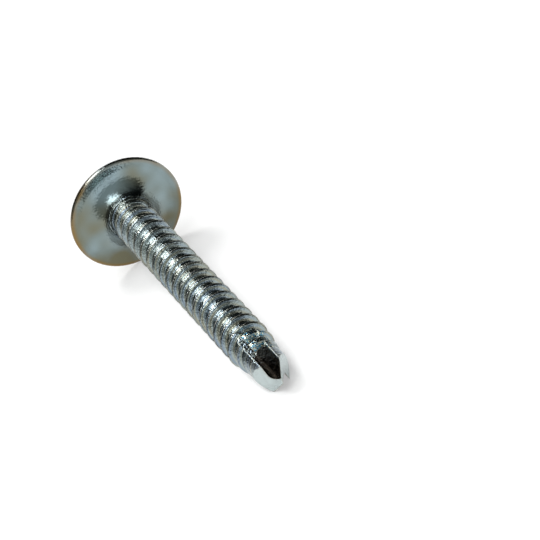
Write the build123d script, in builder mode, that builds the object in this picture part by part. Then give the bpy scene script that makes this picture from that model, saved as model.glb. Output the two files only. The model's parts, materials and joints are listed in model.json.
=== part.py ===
from build123d import *
from itertools import pairwise
from math import asin, atan, cos, radians, sin, tan
import os

# A self drilling screw: a flanged round head with a cross recess, a rolled
# right-hand thread over the whole shank, and a forged drill point with two flutes.
#
# The screw is modelled about its own axis, with the bearing face of the head at
# z = 0 and the point up at z = shank_length. Last of all it is laid down, as it
# would come to rest: on the rim of its head and the low end of its shank.
# Everything is in millimetres.

# Head
head_diameter = 11.0
head_height = 2.5
rim_edge_chamfer = 0.12  # lower edge of the rim, next to the bearing face
rim_side_height = 0.25  # the upright band of the rim
rim_top_chamfer = 0.38  # upper edge of the rim, in two equal turns
dome_diameter = 7.0
dome_base_height = 1.43
bearing_ring_width = 0.75
under_head_angle = 12.0  # slope of the cone between the bearing ring and the neck
neck_fillet_radius = 0.8

# Cross recess, size 2
recess_span = 4.7
recess_bottom_span = 2.3
recess_depth = 2.1
wing_width = 1.15
wing_bottom_width = 0.75
wing_corner_radius = 0.2
recess_cone_depth = 0.2
recess_cone_top = 1.5
recess_cone_bottom = 0.38

# Shank and thread
shank_length = 32.0
neck_diameter = 3.56
neck_straight = 0.1  # plain neck left between the fillet and the start of the thread
thread_diameter = 4.1
thread_root_diameter = 3.1
thread_pitch = 1.41
thread_angle = 60.0
thread_run_in = 0.9  # from where the ridge leaves the neck to its full height
thread_end_gap = 5.9  # from the last full height of the thread to the point
thread_run_out = 2.7  # from the last full height down to the drill body
lip_crossing_gap = 5.1  # from where the crest crosses a cutting lip's azimuth to the point

# Drill point
drill_diameter = 3.2
drill_length = 4.0  # from where the core has widened to the drill body to the point
web_thickness = 0.36
flute_length = 6.3
flute_heel_angle = 45.0  # between the cutting face and the back wall of a flute
flute_root_offset = 0.7  # how far behind the axis the two walls would meet
flute_root_radius = 0.37
flute_run_out_angle = 38.0
point_angle = 71.0  # between the two point faces
chisel_angle = 33.0  # from the cutting lip to the ridge between the point faces

# Burrs that thread rolling leaves over the upper end of each flute
burr_height = 0.32
burr_width = 0.95
burr_top_width = 0.6
burr_turns = 2
burr_advance = 0.45  # how far the burrs lie nearer the point than the line of the crest
burr_start = 0.6  # turns by which the first burr reaches back past the cutting lip
burr_end = 0.25  # turns left before the last burr would be complete
burr_reach = 52.0  # how far round over the flute a burr stands out, in degrees
burr_root_reach = 13.0  # how far back over the solid metal it runs, in degrees
burr_lift = 0.12  # how far a burr stands above the drill body

# How the screw lies: turn of the cutting lip from straight up, towards +Y
resting_turn = 38.5

# Small working lengths
overlap = 0.12  # what is sunk into the metal that carries it
beyond = 1.0  # how far a cutter reaches past what it cuts
spare_turns = 2  # whole turns of the rod cut away at either end

# Sizes that follow
head_radius = head_diameter / 2
dome_radius = dome_diameter / 2
thread_radius = thread_diameter / 2
root_radius = thread_root_diameter / 2
neck_radius = neck_diameter / 2
drill_radius = drill_diameter / 2
core_radius = root_radius - overlap
web_half = web_thickness / 2

rim_side_top = rim_edge_chamfer + rim_side_height
rim_top_height = rim_side_top + rim_top_chamfer
rim_top_radius = head_radius - rim_top_chamfer
rim_top_middle = rim_top_chamfer * (1 - cos(radians(45)))
bearing_outer_radius = head_radius - rim_edge_chamfer
bearing_inner_radius = bearing_outer_radius - bearing_ring_width
neck_cone_depth = (bearing_inner_radius - neck_radius) * tan(radians(under_head_angle))
neck_fillet_length = neck_fillet_radius * tan(radians((90 - under_head_angle) / 2))
neck_length = neck_cone_depth + neck_fillet_length + neck_straight

thread_start = neck_length
thread_end = shank_length - thread_end_gap
drill_start = shank_length - drill_length
run_out_slope = (thread_radius - drill_radius) / thread_run_out
run_out_end = thread_end + (thread_radius - core_radius) / run_out_slope
ridge_height = thread_radius - root_radius
ridge_half_width = ridge_height * tan(radians(thread_angle / 2))

# The crest of the thread crosses the azimuth of the cutting lip, which is +X, at this
# height and at whole pitches from it
lip_crossing = shank_length - lip_crossing_gap
turns_before = int((lip_crossing - thread_start) / thread_pitch) + spare_turns
turns_after = int((run_out_end - lip_crossing) / thread_pitch) + spare_turns
rod_turns = turns_before + turns_after
rod_bottom = lip_crossing - ridge_half_width - turns_before * thread_pitch


def one_turn(radius, height):
    """One turn of the thread's helix, which starts over +X at the given height."""
    return Edge.make_helix(thread_pitch, thread_pitch, radius, center=(0, 0, height))


# The thread with its core, as one closed skin: every turn has two flanks and a root,
# each ruled between two helices
ridge_profile = (
    (root_radius, 0),
    (thread_radius, ridge_half_width),
    (root_radius, 2 * ridge_half_width),
)
helices = [
    one_turn(radius, rod_bottom + turn * thread_pitch + rise)
    for turn in range(rod_turns)
    for radius, rise in ridge_profile
]
helices.append(one_turn(root_radius, rod_bottom + rod_turns * thread_pitch))
skin = [Face.make_surface_from_curves(low, high) for low, high in pairwise(helices)]

# Either end is closed by a helical floor and a flat face, both from the axis outwards
for end in (helices[0], helices[-1]):
    bottom = (end @ 0).Z
    top = (end @ 1).Z
    axis_line = Edge.make_line((0, 0, bottom), (0, 0, top))
    corners = [(radius, 0, bottom + rise) for radius, rise in ridge_profile]
    corners = [(0, 0, bottom), *corners, (root_radius, 0, top), (0, 0, top)]
    skin.append(Face.make_surface_from_curves(axis_line, end))
    skin.append(Face(Wire.make_polygon(corners)))
threaded_rod = Solid(Shell(skin))

# The rod is cut down at both ends to where the thread runs out
with BuildPart() as thread:
    with BuildSketch(Plane.XZ):
        with BuildLine():
            Polyline(
                (0, thread_start),
                (core_radius, thread_start),
                (thread_radius + overlap, thread_start + thread_run_in),
                (thread_radius + overlap, thread_end - overlap / run_out_slope),
                (core_radius, run_out_end),
                (0, run_out_end),
                close=True,
            )
        make_face()
    revolve(axis=Axis.Z)
    add(threaded_rod, mode=Mode.INTERSECT)

# The blank as it leaves the header: head, neck, a core for the thread and drill body
with BuildPart() as blank:
    with BuildSketch(Plane.XZ):
        with BuildLine():
            crown = TangentArc(
                (0, -head_height), (dome_radius, -dome_base_height), tangent=(1, 0)
            )
            Polyline(
                crown @ 1,
                (rim_top_radius, -rim_top_height),
                (head_radius - rim_top_middle, rim_top_middle - rim_top_height),
                (head_radius, -rim_side_top),
                (head_radius, -rim_edge_chamfer),
                (bearing_outer_radius, 0),
                (bearing_inner_radius, 0),
                (neck_radius, neck_cone_depth),
                (neck_radius, neck_length),
                (core_radius, neck_length + neck_radius - core_radius),
                (core_radius, drill_start + core_radius - drill_radius),
                (drill_radius, drill_start),
                (drill_radius, shank_length),
                (0, shank_length),
                (0, -head_height),
            )
        make_face()
    revolve(axis=Axis.Z)
    circles = blank.edges().filter_by(GeomType.CIRCLE)
    foot_circle = circles.group_by(lambda edge: abs(edge.center().Z - neck_cone_depth))[0]
    fillet(foot_circle, neck_fillet_radius)

# The cross recess: four wings that narrow and draw together towards the bottom
with BuildPart() as recess:
    for level, span, width in (
        (-head_height, recess_span, wing_width),
        (recess_depth - head_height, recess_bottom_span, wing_bottom_width),
    ):
        with BuildSketch(Plane.XY.offset(level)) as cross:
            Rectangle(span, width)
            Rectangle(width, span)
            inner_corners = cross.vertices().sort_by_distance((0, 0, level))[:4]
            fillet(inner_corners, wing_corner_radius)
    loft(ruled=True)
    with Locations((0, 0, recess_depth - head_height)):
        Cone(
            recess_cone_top / 2,
            recess_cone_bottom / 2,
            recess_cone_depth,
            align=(Align.CENTER, Align.CENTER, Align.MIN),
        )

# One flute: a cutting face along +X, a slanting back wall and a rounded root,
# which rises to the surface at the flute's upper end
flute_bottom = shank_length - flute_length
flute_reach = thread_diameter
flute_direction = Vector(1, 0, 0).rotate(Axis.Z, flute_heel_angle / 2)
with BuildPart() as flute:
    with BuildSketch(Plane.XY.offset(flute_bottom)) as flute_section:
        with BuildLine():
            root = Vector(-flute_root_offset, web_half)
            back_wall = PolarLine(root, flute_reach + flute_root_offset, flute_heel_angle)
            Polyline(root, (flute_reach, web_half), back_wall @ 1)
        make_face()
        fillet(flute_section.vertices().sort_by_distance(root)[0], flute_root_radius)
    extrude(amount=flute_length + beyond)
    run_out_face = flute_direction * cos(radians(flute_run_out_angle))
    run_out_face += Vector(0, 0, sin(radians(flute_run_out_angle)))
    split(
        bisect_by=Plane(
            origin=flute_direction * drill_radius + Vector(0, 0, flute_bottom),
            z_dir=run_out_face,
        ),
        keep=Keep.TOP,
    )

# Burrs: pieces of a low, wide ridge that stand out over each flute from its edge
burr_bottom = lip_crossing + burr_advance - burr_start * thread_pitch
burr_rise = (burr_turns - burr_end - 1 + burr_start) * thread_pitch
burr_core_radius = drill_radius + burr_lift - burr_height
burr_foot_width = burr_width + overlap * (burr_width - burr_top_width) / burr_height
burr_base = Plane.XY.offset(burr_bottom - thread_pitch)
with BuildPart() as burrs:
    with BuildLine() as lead:
        Helix(thread_pitch, burr_rise, burr_core_radius, center=(0, 0, burr_bottom))
    burr_plane = Plane(origin=lead.line @ 0, x_dir=(1, 0, 0), z_dir=lead.line % 0)
    with BuildSketch(burr_plane) as burr_section:
        with BuildLine():
            Polyline(
                (-overlap, -burr_foot_width / 2),
                (burr_height, -burr_top_width / 2),
                (burr_height, burr_top_width / 2),
                (-overlap, burr_foot_width / 2),
                close=True,
            )
        make_face()
    sweep(path=lead.line, is_frenet=True)
    with BuildSketch(burr_base, burr_base.rotated((0, 0, 180))) as burr_sectors:
        with BuildLine():
            near_edge = PolarLine((0, 0), flute_reach, -burr_root_reach)
            far_edge = PolarLine((0, 0), flute_reach, burr_reach)
            Line(near_edge @ 1, far_edge @ 1)
        make_face()
    extrude(amount=burr_rise + spare_turns * thread_pitch, mode=Mode.INTERSECT)

# The whole screw, still upright
with BuildPart() as upright_screw:
    add(blank.part)
    add(thread.part)
    add(recess.part, mode=Mode.SUBTRACT)
    with PolarLocations(0, 2):
        add(flute.part, mode=Mode.SUBTRACT)
    add(burrs.part)
    across_chisel = Vector(0, 1, 0).rotate(Axis.Z, chisel_angle)
    for side in (1, -1):
        face_normal = across_chisel * (side * cos(radians(point_angle / 2)))
        face_normal += Vector(0, 0, sin(radians(point_angle / 2)))
        split(
            bisect_by=Plane(origin=(0, 0, shank_length), z_dir=face_normal),
            keep=Keep.BOTTOM,
        )

# Laid down, it rests on the rim of the head and, at the other end, on the last full
# turn of the thread or on a corner of the drill point, whichever meets the ground
lip_drop = drill_radius * sin(radians(chisel_angle)) - web_half * cos(radians(chisel_angle))
lip_height = shank_length - lip_drop / tan(radians(point_angle / 2))
turns_to_end = (thread_end - lip_crossing) / thread_pitch - (0.5 + resting_turn / 360)
last_crest = thread_end - turns_to_end % 1 * thread_pitch
lip_radius = drill_radius * cos(radians(resting_turn) - asin(web_half / drill_radius))
resting_tilt = min(
    atan((head_radius - thread_radius) / (last_crest + rim_edge_chamfer)),
    atan((head_radius - lip_radius) / (lip_height + rim_edge_chamfer)),
)
shank_direction = Vector(cos(resting_tilt), 0, -sin(resting_tilt))
lip_direction = Vector(sin(resting_tilt), 0, cos(resting_tilt)).rotate(
    Axis((0, 0, 0), shank_direction), -resting_turn
)
laid_down = Plane(origin=(0, 0, 0), x_dir=lip_direction, z_dir=shank_direction).location
box = upright_screw.part.moved(laid_down).bounding_box()
on_the_ground = Location((-box.center().X, -box.center().Y, -box.min.Z)) * laid_down

with BuildPart() as screw:
    with Locations(on_the_ground):
        add(upright_screw.part)

os.makedirs("parts", exist_ok=True)
screw.part.label = "screw"
export_step(screw.part, "parts/screw.step")
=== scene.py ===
import json
import math

import bmesh
import bpy
from bpy.props import FloatProperty, FloatVectorProperty, PointerProperty, StringProperty
from mathutils import Euler, Matrix, Vector

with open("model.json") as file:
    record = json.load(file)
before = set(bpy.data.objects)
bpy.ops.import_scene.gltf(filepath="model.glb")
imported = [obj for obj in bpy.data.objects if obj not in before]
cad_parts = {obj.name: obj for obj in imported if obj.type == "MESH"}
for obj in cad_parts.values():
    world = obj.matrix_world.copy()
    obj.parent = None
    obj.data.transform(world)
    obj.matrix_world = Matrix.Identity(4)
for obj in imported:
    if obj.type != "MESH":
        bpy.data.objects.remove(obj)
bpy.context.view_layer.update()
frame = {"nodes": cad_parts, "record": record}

bl_info = {
    "name": "Self drilling screw",
    "version": (1, 0, 0),
    "blender": (4, 5, 0),
    "location": "3D View > Sidebar > Screw",
    "description": "Bright zinc plated screw on a pale studio floor",
    "category": "Object",
}

MM = 0.001

# The screw's own frame starts at the bearing face of the head, on the screw's axis
BEARING = next(m for m in frame["record"]["mounts"] if m["name"] == "bearing_ring")
SEAT = Vector(BEARING["pos_m"])
AXIS = Vector(BEARING["axis"]).normalized()

HEAD_HEIGHT = 2.5 * MM
HEAD_DIAMETER = 11 * MM
DOME_RADIUS = 3.5 * MM
DOME_RISE = 1.07 * MM

# Rays with which a shader feels for the edges round a point
EDGE_SAMPLES = 8

# Sockets of the Mix node, several of which share a name
FACTOR, A_FLOAT, B_FLOAT, A_COLOUR, B_COLOUR = 0, 2, 3, 6, 7
FLOAT_OUT, COLOUR_OUT = 0, 2


def linear(hex_colour):
    """An sRGB hex colour such as "#A0B0C0" as linear red, green, blue and alpha."""
    channels = [int(hex_colour[i : i + 2], 16) / 255 for i in (1, 3, 5)]
    return [c / 12.92 if c <= 0.04045 else ((c + 0.055) / 1.055) ** 2.4 for c in channels] + [1.0]


def add_node(tree, kind, settings=None, links=None):
    """Adds a node, sets its properties and sockets, and links sockets to other outputs."""
    node = tree.nodes.new(kind)
    for name, value in (settings or {}).items():
        if isinstance(name, str) and hasattr(node, name):
            setattr(node, name, value)
        else:
            node.inputs[name].default_value = value
    for name, output in (links or {}).items():
        tree.links.new(output, node.inputs[name])
    return node


def new_material(name):
    """A material with an empty node tree, and that tree."""
    material = bpy.data.materials.new(name)
    material.use_nodes = True
    material.node_tree.nodes.clear()
    return material, material.node_tree


def own_frame(finish):
    """The screw's own frame: the axis from head to point as Z, the cutting lip as X."""
    up_from_axis = Vector((0, 0, 1)) - AXIS * AXIS.z
    lip = Matrix.Rotation(-finish.lip_turn, 3, AXIS) @ up_from_axis.normalized()
    return Matrix((lip, AXIS.cross(lip), AXIS)).transposed()


def screw_places(tree, finish):
    """Where a point of the surface lies on the screw, each as the output of a node: from
    the axis, along it, round it, and across the thread's profile."""
    places = {"place": add_node(tree, "ShaderNodeTexCoord").outputs["Object"]}
    own = add_node(
        tree,
        "ShaderNodeMapping",
        {
            "vector_type": "TEXTURE",
            "Location": SEAT,
            "Rotation": own_frame(finish).to_euler(),
        },
        {"Vector": places["place"]},
    ).outputs["Vector"]
    own_axes = add_node(tree, "ShaderNodeSeparateXYZ", None, {"Vector": own})
    from_axis = add_node(
        tree, "ShaderNodeVectorMath", {"operation": "MULTIPLY", 1: (1, 1, 0)}, {0: own}
    ).outputs["Vector"]
    places["radius"] = add_node(
        tree, "ShaderNodeVectorMath", {"operation": "LENGTH"}, {0: from_axis}
    ).outputs["Value"]
    places["height"] = own_axes.outputs["Z"]
    places["azimuth"] = add_node(
        tree,
        "ShaderNodeMath",
        {"operation": "ARCTAN2"},
        {0: own_axes.outputs["Y"], 1: own_axes.outputs["X"]},
    ).outputs["Value"]

    # The phase stays the same all along a right-hand helix of the thread's pitch. Wound
    # into a circle one pitch round, it joins without a seam from turn to turn.
    turns = add_node(
        tree,
        "ShaderNodeMath",
        {"operation": "MULTIPLY", 1: 2 * math.pi / finish.thread_pitch},
        {0: places["height"]},
    ).outputs["Value"]
    phase = add_node(
        tree, "ShaderNodeMath", {"operation": "SUBTRACT"}, {0: turns, 1: places["azimuth"]}
    ).outputs["Value"]
    profile = {"Z": places["radius"]}
    for axis, wave in (("X", "COSINE"), ("Y", "SINE")):
        unit = add_node(tree, "ShaderNodeMath", {"operation": wave}, {0: phase}).outputs["Value"]
        profile[axis] = add_node(
            tree,
            "ShaderNodeMath",
            {"operation": "MULTIPLY", 1: finish.thread_pitch / (2 * math.pi)},
            {0: unit},
        ).outputs["Value"]
    profile = add_node(tree, "ShaderNodeCombineXYZ", None, profile).outputs["Vector"]
    drift = add_node(
        tree,
        "ShaderNodeVectorMath",
        {"operation": "MULTIPLY", 1: [finish.line_drift] * 3},
        {0: own},
    ).outputs["Vector"]
    places["along_helix"] = add_node(
        tree, "ShaderNodeVectorMath", {"operation": "ADD"}, {0: profile, 1: drift}
    ).outputs["Vector"]
    return places


def finish_zones(tree, finish, places):
    """Masks, from 0 to 1, for the parts of the screw that look different."""
    true_normal = add_node(tree, "ShaderNodeNewGeometry").outputs["Normal"]
    facing_point = add_node(
        tree,
        "ShaderNodeVectorMath",
        {"operation": "DOT_PRODUCT", 1: AXIS},
        {0: true_normal},
    ).outputs["Value"]
    facing_along = add_node(
        tree, "ShaderNodeMath", {"operation": "ABSOLUTE"}, {0: facing_point}
    ).outputs["Value"]

    # A wide bevel turns the normal only near an edge, which is where plating rubs off
    blunted = add_node(
        tree, "ShaderNodeBevel", {"samples": EDGE_SAMPLES, "Radius": finish.worn_edge_width}
    ).outputs["Normal"]
    flatness = add_node(
        tree, "ShaderNodeVectorMath", {"operation": "DOT_PRODUCT"}, {0: blunted, 1: true_normal}
    ).outputs["Value"]

    # The two flutes are half a turn apart, so twice the azimuth goes once round each
    doubled = add_node(
        tree,
        "ShaderNodeMath",
        {"operation": "MULTIPLY_ADD", 1: 2.0, 2: -2 * finish.burr_azimuth},
        {0: places["azimuth"]},
    ).outputs["Value"]
    flute_side = add_node(
        tree, "ShaderNodeMath", {"operation": "COSINE"}, {0: doubled}
    ).outputs["Value"]

    # The dome on top of the head is close to a parabola, and the recess lies below it
    radius, height = places["radius"], places["height"]
    radius_squared = add_node(
        tree, "ShaderNodeMath", {"operation": "MULTIPLY"}, {0: radius, 1: radius}
    ).outputs["Value"]
    dome = add_node(
        tree,
        "ShaderNodeMath",
        {"operation": "MULTIPLY_ADD", 1: DOME_RISE / DOME_RADIUS**2, 2: -HEAD_HEIGHT},
        {0: radius_squared},
    ).outputs["Value"]
    below_dome = add_node(
        tree, "ShaderNodeMath", {"operation": "SUBTRACT"}, {0: height, 1: dome}
    ).outputs["Value"]

    # Each mask is 0 at the first of its two values and 1 at the second. Heights run from
    # the bearing face towards the point, so the head's are below 0.
    zones = {}
    for name, along, start, full in (
        ("near_axis", radius, 2.4 * MM, 2.1 * MM),
        ("towards_neck", radius, 4.4 * MM, 1.9 * MM),
        ("rim", radius, 5.05 * MM, 5.4 * MM),
        ("crest_line", radius, 1.96 * MM, 2.02 * MM),
        ("recess_reach", radius, 2.65 * MM, 2.55 * MM),
        ("outside_flutes", radius, 1.25 * MM, 1.3 * MM),
        ("inside_drill_body", radius, 1.56 * MM, 1.4 * MM),
        ("above_bearing", height, -0.2 * MM, -0.3 * MM),
        ("below_head", height, -0.08 * MM, -0.02 * MM),
        ("past_neck", height, 1.5 * MM, 1.8 * MM),
        ("near_point", height, 25.5 * MM, 26.5 * MM),
        ("before_tip", height, 29.4 * MM, 29.1 * MM),
        ("at_tip", height, 29.2 * MM, 29.6 * MM),
        ("sunk_in_dome", below_dome, 0.08 * MM, 0.14 * MM),
        ("over_flutes", flute_side, 0.3, 0.5),
        ("facing_point", facing_point, 0.52, 0.56),
        ("facing_sideways", facing_along, 0.56, 0.5),
        ("edge", flatness, 0.97, 0.88),
    ):
        zones[name] = add_node(
            tree, "ShaderNodeMapRange", {"From Min": start, "From Max": full}, {"Value": along}
        ).outputs["Result"]
    for name, parts in (
        ("thread", ("near_axis", "below_head")),
        ("crests", ("crest_line", "past_neck")),
        ("round_recess", ("recess_reach", "above_bearing")),
        ("recess", ("sunk_in_dome", "round_recess")),
        ("burrs", ("over_flutes", "outside_flutes", "before_tip", "near_point")),
        # Painted highlight: the point's faces that face along the axis are painted paler
        ("point_faces_painted_highlight", ("facing_point", "at_tip")),
        # Painted shade: the flutes' walls are painted near black where their hollows lie in shade
        ("flute_walls_painted_shade", ("facing_sideways", "inside_drill_body", "near_point")),
    ):
        zones[name] = zones[parts[0]]
        for part in parts[1:]:
            zones[name] = add_node(
                tree, "ShaderNodeMath", {"operation": "MULTIPLY"}, {0: zones[name], 1: zones[part]}
            ).outputs["Value"]

    rubbed_crests = add_node(
        tree,
        "ShaderNodeMath",
        {"operation": "MULTIPLY", 1: finish.crest_wear},
        {0: zones["crests"]},
    ).outputs["Value"]
    sharp_work = add_node(
        tree,
        "ShaderNodeMath",
        {"operation": "MAXIMUM"},
        {0: zones["near_point"], 1: zones["round_recess"]},
    ).outputs["Value"]
    rubbed_edges = add_node(
        tree, "ShaderNodeMath", {"operation": "MULTIPLY"}, {0: zones["edge"], 1: sharp_work}
    ).outputs["Value"]
    zones["worn"] = add_node(
        tree, "ShaderNodeMath", {"operation": "MAXIMUM"}, {0: rubbed_crests, 1: rubbed_edges}
    ).outputs["Value"]
    return zones


def bright_zinc(finish):
    """The plating of the whole screw."""
    # Zinc electroplated with a clear passivation, over steel that was cold headed, rolled
    # and forged. It gives the eye a bright, neutral grey mirror, blue where the passivation
    # is thin and golden on the rim, where it is thick. The rolling dies' fine helical lines
    # break it up on the thread, and shallow pits and waves make it satin on the head.
    # Crests and edges are rubbed pale. The flutes' walls are painted near black, a painted
    # shade in their hollows; the point's forward faces are painted paler, a painted highlight;
    # and the head is painted bluer above and olive below, a painted reflection.
    material, tree = new_material("bright_zinc_plated_steel")
    places = screw_places(tree, finish)
    zones = finish_zones(tree, finish, places)
    place, along_helix = places["place"], places["along_helix"]

    # The dies' lines and the pits are some 0.02 mm wide on a real screw. They are drawn
    # about ten times as coarse, because they wouldn't show at all otherwise.
    patterns = {}
    for name, size, detail, roughness, vector in (
        ("lines", finish.line_width, 2.0, 0.6, along_helix),
        ("pits", finish.pit_size, 2.0, 0.6, place),
        ("waves", finish.wave_size, 2.0, 0.5, place),
        ("specks", finish.speck_size, 2.0, 0.5, along_helix),
        ("patches", finish.patch_size, 1.0, 0.5, place),
    ):
        patterns[name] = add_node(
            tree,
            "ShaderNodeTexNoise",
            {"Scale": 1 / size, "Detail": detail, "Roughness": roughness},
            {"Vector": vector},
        ).outputs["Fac"]

    # From the thread's finish to the head's, between two radii at the foot of the neck
    thread_side, head_side = 2.1 * MM, 2.6 * MM
    pit_share, smoothness = [
        add_node(
            tree,
            "ShaderNodeMapRange",
            {
                "From Min": thread_side,
                "From Max": head_side,
                "To Min": on_thread,
                "To Max": on_head,
            },
            {"Value": places["radius"]},
        ).outputs["Result"]
        for on_thread, on_head in (
            (1.0, finish.head_pits),
            (finish.thread_roughness, finish.head_roughness),
        )
    ]

    # Relief: the sweep makes the cone and fillet under the head look deeper than the solid's,
    # and the bevel makes every edge look a little rounded
    sweep = add_node(
        tree,
        "ShaderNodeMath",
        {"operation": "POWER", 1: finish.neck_sweep},
        {0: zones["towards_neck"]},
    ).outputs["Value"]
    normal = add_node(
        tree, "ShaderNodeBevel", {"samples": EDGE_SAMPLES, "Radius": finish.edge_radius}
    ).outputs["Normal"]
    for pattern, share, depth in (
        (sweep, zones["below_head"], finish.neck_flare),
        (patterns["waves"], None, finish.wave_depth),
        (patterns["lines"], zones["thread"], finish.line_depth),
        (patterns["pits"], pit_share, finish.pit_depth),
    ):
        if share is not None:
            pattern = add_node(
                tree, "ShaderNodeMath", {"operation": "MULTIPLY"}, {0: pattern, 1: share}
            ).outputs["Value"]
        normal = add_node(
            tree,
            "ShaderNodeBump",
            {"Strength": 1.0, "Distance": depth},
            {"Height": pattern, "Normal": normal},
        ).outputs["Normal"]

    # The head's tint follows random patches, and on top of them a painted reflection: bluer and
    # paler towards its upper edge, darker olive towards its lower one
    upright = add_node(tree, "ShaderNodeSeparateXYZ", None, {"Vector": place}).outputs["Z"]
    painted_reflection_shift = add_node(
        tree,
        "ShaderNodeMapRange",
        {
            "From Min": HEAD_DIAMETER,
            "From Max": 0,
            "To Min": -finish.head_painted_reflection,
            "To Max": finish.head_painted_reflection,
        },
        {"Value": upright},
    ).outputs["Result"]
    patches_and_painted_reflection = add_node(
        tree, "ShaderNodeMath", {"operation": "ADD"}, {0: patterns["patches"], 1: painted_reflection_shift}
    ).outputs["Value"]

    tints = {}
    for name, pattern, stops in (
        (
            "head",
            patches_and_painted_reflection,
            ((0.3, finish.head_blue), (0.5, finish.head_colour), (0.7, finish.head_olive)),
        ),
        (
            "thread",
            patterns["specks"],
            ((0.38, finish.blue_tint), (0.5, finish.plating_colour), (0.62, finish.golden_tint)),
        ),
        ("burrs", patterns["pits"], ((0.45, finish.burr_blue), (0.6, finish.burr_cream))),
    ):
        ramp = add_node(tree, "ShaderNodeValToRGB", None, {"Fac": pattern})
        elements = ramp.color_ramp.elements
        for element, (position, tint) in zip(elements, (stops[0], stops[-1])):
            element.position = position
            element.color = linear(tint)
        for position, tint in stops[1:-1]:
            elements.new(position).color = linear(tint)
        tints[name] = ramp.outputs["Color"]

    # The rim's gold follows the same patches and the painted reflection's shift, so it is stronger
    # lower down
    rim_gold = add_node(
        tree, "ShaderNodeMath", {"operation": "MULTIPLY"}, {0: zones["rim"], 1: patches_and_painted_reflection}
    ).outputs["Value"]
    colour = tints["head"]
    for name in ("thread", "burrs"):
        colour = add_node(
            tree,
            "ShaderNodeMix",
            {"data_type": "RGBA"},
            {FACTOR: zones[name], A_COLOUR: colour, B_COLOUR: tints[name]},
        ).outputs[COLOUR_OUT]
    for zone, tint in (
        (rim_gold, finish.rim_colour),
        (zones["recess"], finish.recess_colour),
        # Painted highlight: the point's forward faces are painted paler
        (zones["point_faces_painted_highlight"], finish.point_painted_highlight),
        (zones["worn"], finish.crest_colour),
        # Painted shade: the flutes' walls are painted near black
        (zones["flute_walls_painted_shade"], finish.flute_painted_shade),
    ):
        colour = add_node(
            tree,
            "ShaderNodeMix",
            {"data_type": "RGBA", B_COLOUR: linear(tint)},
            {FACTOR: zone, A_COLOUR: colour},
        ).outputs[COLOUR_OUT]

    roughness = add_node(
        tree,
        "ShaderNodeMix",
        {"data_type": "FLOAT", B_FLOAT: finish.worn_roughness},
        {FACTOR: zones["worn"], A_FLOAT: smoothness},
    ).outputs[FLOAT_OUT]
    shader = add_node(
        tree,
        "ShaderNodeBsdfPrincipled",
        {"Metallic": 1.0},
        {"Base Color": colour, "Roughness": roughness, "Normal": normal},
    )
    add_node(tree, "ShaderNodeOutputMaterial", None, {"Surface": shader.outputs["BSDF"]})
    return material


def matt_white_card(stage):
    """The floor's card."""
    # Uncoated card, rolled smooth: an even matt white. The camera and the screw's gloss see
    # it partly as plain white, which leaves the shadow on it soft and pale.
    material, tree = new_material("matt_white_card")
    white = linear(stage.floor_colour)
    paper = add_node(tree, "ShaderNodeBsdfDiffuse", {"Color": white})
    glow = add_node(tree, "ShaderNodeEmission", {"Color": white, "Strength": 1.0})
    rays = add_node(tree, "ShaderNodeLightPath")
    seen = rays.outputs["Is Camera Ray"]
    for kind in ("Is Glossy Ray", "Is Transmission Ray"):
        seen = add_node(
            tree, "ShaderNodeMath", {"operation": "MAXIMUM"}, {0: seen, 1: rays.outputs[kind]}
        ).outputs["Value"]
    lifted = add_node(
        tree, "ShaderNodeMath", {"operation": "MULTIPLY", 1: stage.shadow_lift}, {0: seen}
    ).outputs["Value"]
    shader = add_node(
        tree,
        "ShaderNodeMixShader",
        None,
        {0: lifted, 1: paper.outputs["BSDF"], 2: glow.outputs["Emission"]},
    )
    add_node(tree, "ShaderNodeOutputMaterial", None, {"Surface": shader.outputs["Shader"]})
    return material


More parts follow.
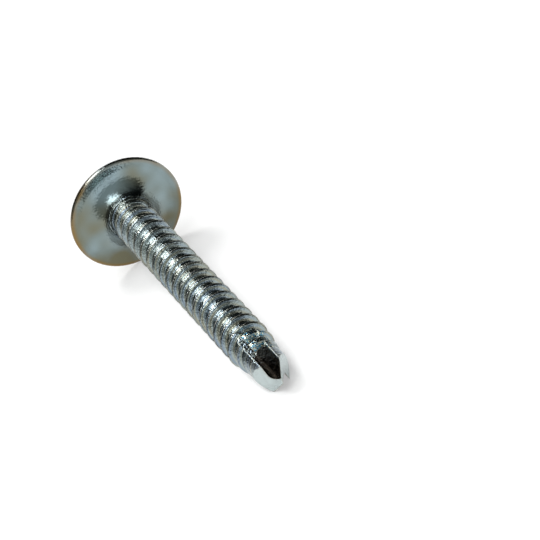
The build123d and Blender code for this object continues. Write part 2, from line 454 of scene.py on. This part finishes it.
class ScrewFinish(bpy.types.PropertyGroup):
    """Sizes and colours of the screw's plating. Colours are sRGB hex."""

    lip_turn: FloatProperty(
        name="Lip turn",
        description="Turn of the cutting lip about the axis, from straight up",
        default=math.radians(38.5),
        subtype="ANGLE",
    )
    burr_azimuth: FloatProperty(
        name="Burr azimuth",
        description="Turn from the cutting lip to the middle of the burrs",
        default=math.radians(20),
        subtype="ANGLE",
    )
    thread_pitch: FloatProperty(
        name="Pitch", description="From crest to crest", default=1.41 * MM, unit="LENGTH"
    )
    edge_radius: FloatProperty(
        name="Edge radius",
        description="How far the shading of an edge is rounded",
        default=0.2 * MM,
        unit="LENGTH",
    )
    worn_edge_width: FloatProperty(
        name="Worn edge", description="Width of the rubbed edges", default=0.1 * MM, unit="LENGTH"
    )
    neck_flare: FloatProperty(
        name="Neck flare",
        description="How much more the underside seems to rise towards the neck than it does",
        default=1.3 * MM,
        unit="LENGTH",
    )
    neck_sweep: FloatProperty(
        name="Neck sweep", description="How late the underside rises, as a power", default=2.2
    )
    line_width: FloatProperty(
        name="Line width", description="Of the dies' lines", default=0.19 * MM, unit="LENGTH"
    )
    line_depth: FloatProperty(
        name="Line depth", description="Of the dies' lines", default=0.15 * MM, unit="LENGTH"
    )
    line_drift: FloatProperty(
        name="Line drift",
        description="How soon the dies' lines change along the helix",
        default=0.05,
        subtype="FACTOR",
        min=0,
        max=1,
    )
    pit_size: FloatProperty(
        name="Pit size", description="Of the plating's pits", default=0.2 * MM, unit="LENGTH"
    )
    pit_depth: FloatProperty(
        name="Pit depth", description="On the thread", default=0.07 * MM, unit="LENGTH"
    )
    head_pits: FloatProperty(
        name="Head pits",
        description="Depth of the head's pits as a share of the thread's",
        default=0.3,
        subtype="FACTOR",
        min=0,
        max=1,
    )
    wave_size: FloatProperty(
        name="Wave size", description="Of the forged surface", default=0.9 * MM, unit="LENGTH"
    )
    wave_depth: FloatProperty(
        name="Wave depth", description="Of the forged surface", default=0.03 * MM, unit="LENGTH"
    )
    speck_size: FloatProperty(
        name="Speck size", description="Of the thread's tints", default=0.3 * MM, unit="LENGTH"
    )
    patch_size: FloatProperty(
        name="Patch size", description="Of the head's tints", default=3.2 * MM, unit="LENGTH"
    )
    # Painted reflection: the head is painted bluer and paler above and darker olive below
    head_painted_reflection: FloatProperty(
        name="Head shift",
        description="How much bluer the head is above, and more olive below",
        default=0.14,
        subtype="FACTOR",
        min=0,
        max=1,
    )
    thread_roughness: FloatProperty(
        name="Thread roughness",
        description="Of the rolled thread",
        default=0.15,
        subtype="FACTOR",
        min=0,
        max=1,
    )
    head_roughness: FloatProperty(
        name="Head roughness",
        description="Of the forged head",
        default=0.17,
        subtype="FACTOR",
        min=0,
        max=1,
    )
    worn_roughness: FloatProperty(
        name="Worn roughness",
        description="Of the rubbed crests and edges",
        default=0.45,
        subtype="FACTOR",
        min=0,
        max=1,
    )
    crest_wear: FloatProperty(
        name="Crest wear",
        description="How far the thread's crests are rubbed",
        default=0.8,
        subtype="FACTOR",
        min=0,
        max=1,
    )
    plating_colour: StringProperty(
        name="Plating", description="The thread's zinc", default="#99A4A1"
    )
    blue_tint: StringProperty(
        name="Blue tint", description="The thread, where the finish is thin", default="#8897A4"
    )
    golden_tint: StringProperty(
        name="Golden tint", description="The thread, where it is thick", default="#96978A"
    )
    head_colour: StringProperty(name="Head", description="The head's zinc", default="#7C8886")
    # The head's blue and olive come from random patches and also from the painted reflection, bluer
    # above and olive below
    head_blue: StringProperty(
        name="Head blue", description="The head, where the finish is thin", default="#8FA2A8"
    )
    head_olive: StringProperty(
        name="Head olive", description="The head, where it is thick", default="#75735F"
    )
    rim_colour: StringProperty(
        name="Rim", description="The thickest finish, on the rim", default="#8A6A34"
    )
    recess_colour: StringProperty(
        name="Recess", description="The thin finish in the recess", default="#8AA9B2"
    )
    burr_blue: StringProperty(
        name="Burr blue", description="The thin finish on the burrs", default="#4F86A0"
    )
    burr_cream: StringProperty(
        name="Burr cream", description="The burrs' rubbed specks", default="#D9D6BE"
    )
    crest_colour: StringProperty(
        name="Crests", description="Rubbed crests and edges", default="#D8D9CF"
    )
    # Painted highlight: the paler colour painted on the point's forward faces
    point_painted_highlight: StringProperty(
        name="Point", description="The bright faces of the point", default="#B9C4C4"
    )
    # Painted shade: the near black that the flutes' walls are painted in their hollows
    flute_painted_shade: StringProperty(
        name="Flute", description="The flutes' oily walls", default="#1E1A15"
    )


class ScrewStage(bpy.types.PropertyGroup):
    """The floor, the lamps, the walls and the camera. Colours are sRGB hex."""

    floor_width: FloatProperty(
        name="Floor width", description="Side of the square floor", default=3.0, unit="LENGTH"
    )
    floor_colour: StringProperty(
        name="Floor", description="The white card's colour", default="#FAFAFA"
    )
    shadow_lift: FloatProperty(
        name="Shadow lift",
        description="How much of the floor shows as plain white",
        default=0.45,
        subtype="FACTOR",
        min=0,
        max=1,
    )
    key_power: FloatProperty(
        name="Key power", description="Of the softbox behind the head", default=1.6, unit="POWER"
    )
    front_power: FloatProperty(
        name="Front power", description="Of the softbox at the point", default=0.9, unit="POWER"
    )
    overhead_power: FloatProperty(
        name="Overhead power", description="Of the softbox overhead", default=1.3, unit="POWER"
    )
    dark_wall: StringProperty(
        name="Dark wall", description="Behind the screw's head", default="#191C1D"
    )
    pale_wall: StringProperty(
        name="Pale wall", description="Behind the camera", default="#B4B8B5"
    )
    pale_side: FloatVectorProperty(
        name="Pale side",
        description="Towards the middle of the pale wall",
        default=(0.90, -0.38, 0.20),
        subtype="DIRECTION",
    )
    camera_azimuth: FloatProperty(
        name="Camera azimuth",
        description="Where the camera stands, from +X towards +Y",
        default=math.radians(-9.688),
        subtype="ANGLE",
    )
    camera_elevation: FloatProperty(
        name="Camera elevation",
        description="How far the camera looks down",
        default=math.radians(29.935),
        subtype="ANGLE",
    )
    camera_roll: FloatProperty(
        name="Camera roll",
        description="How far the camera is turned clockwise about its own line of sight",
        default=math.radians(29.433),
        subtype="ANGLE",
    )
    camera_distance: FloatProperty(
        name="Camera distance",
        description="From the point it aims at",
        default=0.187492,
        unit="LENGTH",
    )
    camera_aim: FloatVectorProperty(
        name="Camera aim",
        description="The point in the middle of the picture",
        default=(0.002932, 0.005992, 0.002132),
        subtype="XYZ",
        unit="LENGTH",
    )
    sensor_width: FloatProperty(
        name="Sensor width", description="In millimetres", default=36, unit="CAMERA"
    )
    lens: FloatProperty(
        name="Lens", description="Focal length in millimetres", default=144.733, unit="CAMERA"
    )


class PlateScrew(bpy.types.Operator):
    """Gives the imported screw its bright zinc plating"""

    bl_idname = "screw.plate"
    bl_label = "Plate the screw"

    def execute(self, context):
        node = frame["nodes"]["screw"]
        if not node.material_slots:
            raise RuntimeError("the packed screw has no material slot")
        material = bright_zinc(context.scene.screw_finish)
        for slot in node.material_slots:
            slot.material = material
        return {"FINISHED"}


class SetStage(bpy.types.Operator):
    """Adds the pale floor, the soft lamps, the walls and the camera"""

    bl_idname = "screw.set_stage"
    bl_label = "Set the stage"

    def execute(self, context):
        stage = context.scene.screw_stage
        self.add_floor(context.scene, stage)
        self.add_lamps(context.scene, stage)
        self.add_walls(context.scene, stage)
        self.add_camera(context.scene, stage)
        context.scene.view_settings.view_transform = "Standard"
        return {"FINISHED"}

    def add_floor(self, scene, stage):
        mesh = bpy.data.meshes.new("floor")
        sheet = bmesh.new()
        bmesh.ops.create_grid(sheet, x_segments=1, y_segments=1, size=stage.floor_width / 2)
        sheet.to_mesh(mesh)
        sheet.free()
        mesh.materials.append(matt_white_card(stage))
        floor = bpy.data.objects.new("floor", mesh)
        scene.collection.objects.link(floor)

    def add_lamps(self, scene, stage):
        """Square softboxes that face the screw. Angles are in degrees, lengths in metres."""
        for name, azimuth, elevation, distance, width, power in (
            ("key_softbox", -162, 58, 0.5, 0.2, stage.key_power),
            ("front_softbox", -35, 60, 0.5, 0.3, stage.front_power),
            ("overhead_softbox", -90, 82, 0.6, 0.26, stage.overhead_power),
        ):
            lamp = bpy.data.lights.new(name, "AREA")
            lamp.shape = "SQUARE"
            lamp.size = width
            lamp.energy = power
            turned = Euler((math.radians(90 - elevation), 0, math.radians(azimuth + 90)))
            softbox = bpy.data.objects.new(name, lamp)
            softbox.matrix_world = turned.to_matrix().to_4x4() @ (
                Matrix.Translation((0, 0, distance))
            )
            scene.collection.objects.link(softbox)

    def add_walls(self, scene, stage):
        """A dim room that pales towards the wall behind the camera."""
        world = bpy.data.worlds.new("dim_studio")
        world.use_nodes = True
        tree = world.node_tree
        tree.nodes.clear()
        direction = add_node(tree, "ShaderNodeTexCoord").outputs["Generated"]
        towards_pale = add_node(
            tree,
            "ShaderNodeVectorMath",
            {"operation": "DOT_PRODUCT", 1: stage.pale_side},
            {0: direction},
        ).outputs["Value"]
        # Cosines of the angles from the pale side at which the room is dark and pale
        dark_at, pale_at = -0.2, 0.95
        paleness = add_node(
            tree,
            "ShaderNodeMapRange",
            {"interpolation_type": "SMOOTHSTEP", "From Min": dark_at, "From Max": pale_at},
            {"Value": towards_pale},
        ).outputs["Result"]
        walls = add_node(
            tree,
            "ShaderNodeMix",
            {
                "data_type": "RGBA",
                A_COLOUR: linear(stage.dark_wall),
                B_COLOUR: linear(stage.pale_wall),
            },
            {FACTOR: paleness},
        ).outputs[COLOUR_OUT]
        background = add_node(tree, "ShaderNodeBackground", {"Strength": 1.0}, {"Color": walls})
        add_node(tree, "ShaderNodeOutputWorld", None, {"Surface": background.outputs["Background"]})
        scene.world = world

    def add_camera(self, scene, stage):
        lens = bpy.data.cameras.new("camera")
        lens.sensor_width = stage.sensor_width
        lens.lens = stage.lens
        lens.clip_start = 10 * MM
        camera = bpy.data.objects.new("camera", lens)
        level = Euler((math.pi / 2 - stage.camera_elevation, 0, stage.camera_azimuth + math.pi / 2))
        turned = level.to_matrix() @ Matrix.Rotation(-stage.camera_roll, 3, "Z")
        back = turned @ Vector((0, 0, stage.camera_distance))
        camera.matrix_world = Matrix.Translation(Vector(stage.camera_aim) + back) @ turned.to_4x4()
        scene.collection.objects.link(camera)
        scene.camera = camera


class ScrewPanel(bpy.types.Panel):
    """The screw's sizes, colours and steps, in the 3D view's sidebar"""

    bl_idname = "VIEW3D_PT_screw"
    bl_label = "Self drilling screw"
    bl_space_type = "VIEW_3D"
    bl_region_type = "UI"
    bl_category = "Screw"

    def draw(self, context):
        layout = self.layout
        for group in (context.scene.screw_finish, context.scene.screw_stage):
            box = layout.box()
            for name in type(group).__annotations__:
                box.prop(group, name)
        for operator in OPERATORS:
            layout.operator(operator.bl_idname)


OPERATORS = (PlateScrew, SetStage)
CLASSES = (ScrewFinish, ScrewStage, *OPERATORS, ScrewPanel)


def register():
    for cls in CLASSES:
        bpy.utils.register_class(cls)
    bpy.types.Scene.screw_finish = PointerProperty(type=ScrewFinish)
    bpy.types.Scene.screw_stage = PointerProperty(type=ScrewStage)


def unregister():
    del bpy.types.Scene.screw_stage
    del bpy.types.Scene.screw_finish
    for cls in reversed(CLASSES):
        bpy.utils.unregister_class(cls)


def main():
    register()
    bpy.ops.screw.plate()
    bpy.ops.screw.set_stage()


if __name__ == "__main__":
    main()
